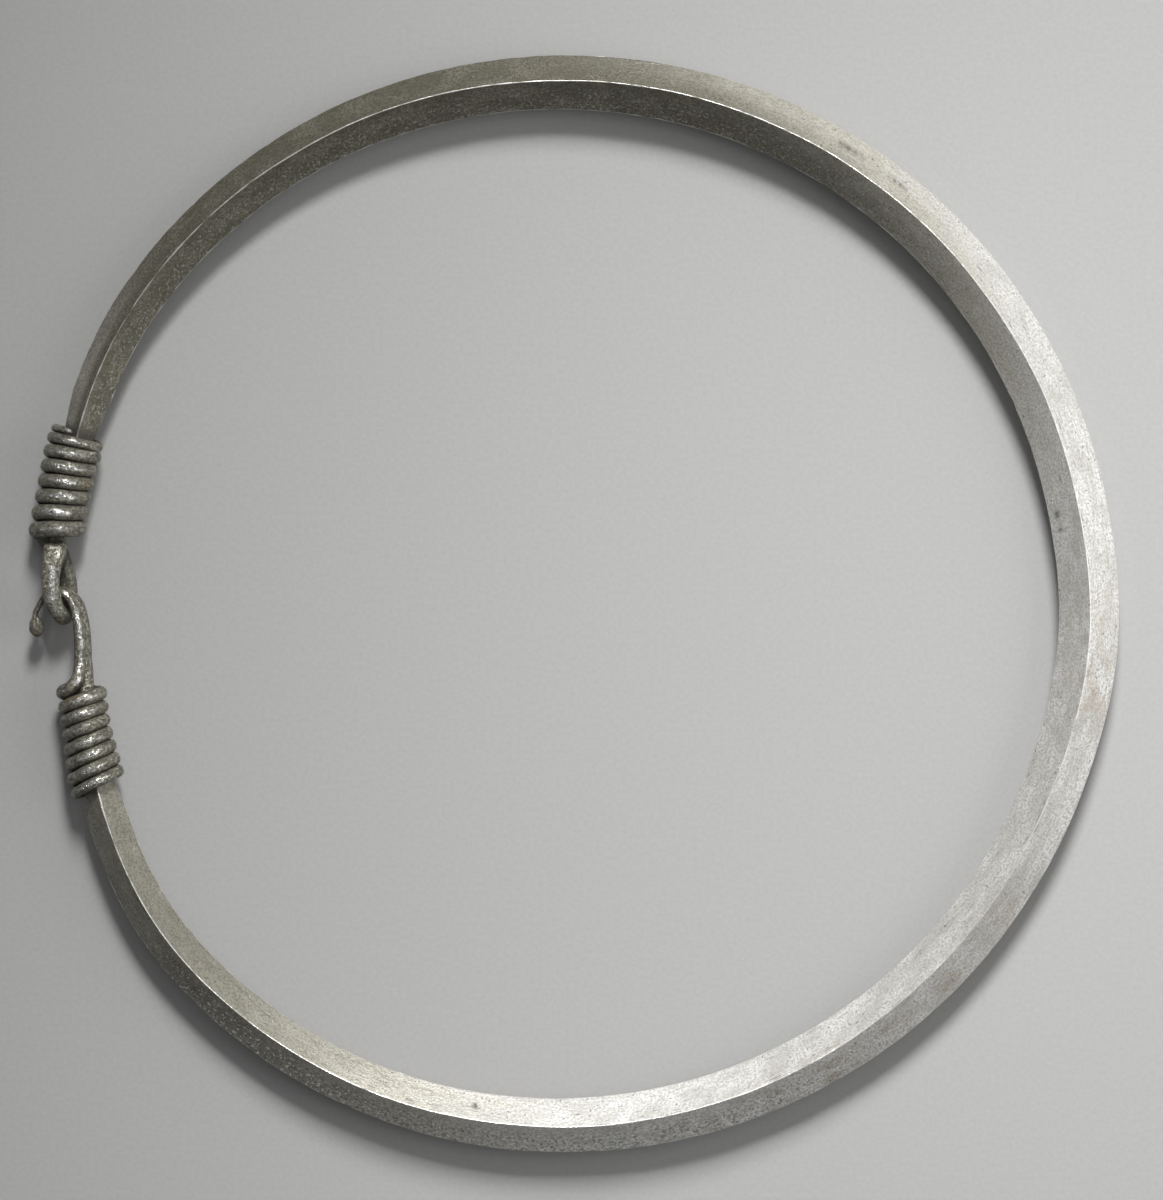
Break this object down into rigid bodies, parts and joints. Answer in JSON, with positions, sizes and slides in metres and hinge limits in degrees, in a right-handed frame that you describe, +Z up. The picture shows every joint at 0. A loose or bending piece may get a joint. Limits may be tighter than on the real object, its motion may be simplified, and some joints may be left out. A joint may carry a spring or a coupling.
{
  "type": "neck ring",
  "caption": "Silver neck ring of square bar set on edge, tapering to wire-wound ends that close with a hook and an eye.",
  "frame": {"origin": "middle of the ring's outline as it lies, at the level of the table", "axes": "+Z up from the table and along the ring's shortest extent; the clasp is towards -X, with the eye end towards +Y and the hook end towards -Y"},
  "size_m": [0.1636, 0.1646, 0.0089],
  "materials": {
    "silver": "satin silver, forged and worn, with darker patina in the recesses"
  },
  "bodies": {
    "root": {"neck_ring": "silver"}
  },
  "joints": []
}
